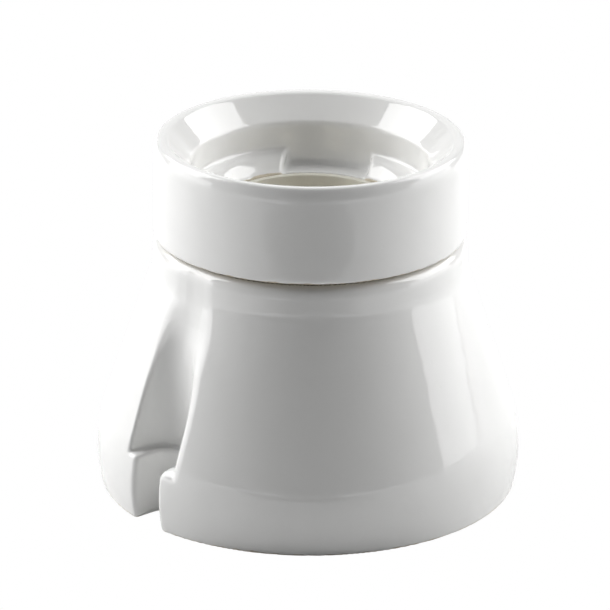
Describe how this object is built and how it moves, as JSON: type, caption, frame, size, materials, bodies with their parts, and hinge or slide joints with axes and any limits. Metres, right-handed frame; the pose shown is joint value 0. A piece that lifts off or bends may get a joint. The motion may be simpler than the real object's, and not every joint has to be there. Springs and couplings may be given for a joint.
{
  "type": "surface-mounted porcelain lampholder",
  "caption": "White glazed porcelain lampholder: hollow cone-shaped wall base with side screw slots and a screw-on ring that holds an Edison screw shell.",
  "frame": {"origin": "centre of the base's wall face, at the bottom centre of the bounding box", "axes": "+Z along the lamp's axis, away from the wall and out of the mouth; X through the two wall-screw slots; +Y towards the cable knock-out"},
  "size_m": [0.0848, 0.085, 0.0719],
  "materials": {
    "glazed_porcelain": "smooth white gloss glaze",
    "steatite": "unglazed beige, matt",
    "gasket_rubber": "soft grey-brown, matt",
    "fibre": "vulcanised fibre, matt",
    "nickelled_brass": "rolled sheet, thin nickel plating, semi-gloss",
    "spring_bronze": "rolled strip, semi-gloss",
    "silver_contact": "pressed, semi-gloss",
    "brass": "turned, semi-gloss",
    "zinc_steel": "bright zinc plating",
    "spring_steel": "oiled spring steel"
  },
  "bodies": {
    "holder": {"base": "glazed_porcelain", "contact_block": "steatite", "block_gasket": "fibre", "centre_contact": "spring_bronze", "neutral_contact": "spring_bronze", "contact_rivets": "brass", "live_terminal": "brass", "neutral_terminal": "brass", "insert_screws": "zinc_steel", "insert_lock_washers": "spring_steel", "insert_nuts": "zinc_steel"},
    "gasket": {"seam_gasket": "gasket_rubber"},
    "ring": {"shroud_ring": "glazed_porcelain", "inner_sleeve": "steatite", "screw_shell": "nickelled_brass", "sleeve_circlip": "spring_steel"},
    "button": {"contact_button": "silver_contact"},
    "live_plate": {"live_clamp_plate": "zinc_steel"},
    "live_screw": {"live_terminal_screw": "zinc_steel"},
    "neutral_plate": {"neutral_clamp_plate": "zinc_steel"},
    "neutral_screw": {"neutral_terminal_screw": "zinc_steel"}
  },
  "joints": [
    {"name": "ring_lift", "type": "slide", "parent": "holder", "child": "gasket", "axis": [0, 0, 1], "range_m": [0, 0.012]},
    {"name": "ring_turn", "type": "hinge", "parent": "gasket", "child": "ring", "pos_m": [0, 0, 0.0523], "axis": [0, 0, 1], "range_deg": [0, 1080]},
    {"name": "centre_contact_travel", "type": "slide", "parent": "holder", "child": "button", "axis": [0, 0, -1], "range_m": [0, 0.0015], "stiffness_N_per_m": 1500, "deforming": ["centre_contact"]},
    {"name": "live_plate_lift", "type": "slide", "parent": "holder", "child": "live_plate", "axis": [0, 0, -1], "range_m": [0, 0.0025]},
    {"name": "live_screw_turn", "type": "hinge", "parent": "live_plate", "child": "live_screw", "pos_m": [-0.009, 0.0056, 0.0127], "axis": [0, 0, -1], "range_deg": [0, 1800]},
    {"name": "neutral_plate_lift", "type": "slide", "parent": "holder", "child": "neutral_plate", "axis": [0, 0, -1], "range_m": [0, 0.0025]},
    {"name": "neutral_screw_turn", "type": "hinge", "parent": "neutral_plate", "child": "neutral_screw", "pos_m": [0.009, 0.0056, 0.0127], "axis": [0, 0, -1], "range_deg": [0, 1800]}
  ],
  "couplings": [
    {"joint": "ring_lift", "follows": "ring_turn", "m_per_rad": 0.00063662},
    {"joint": "live_screw_turn", "follows": "live_plate_lift", "rad_per_m": 12566},
    {"joint": "neutral_screw_turn", "follows": "neutral_plate_lift", "rad_per_m": 12566}
  ]
}
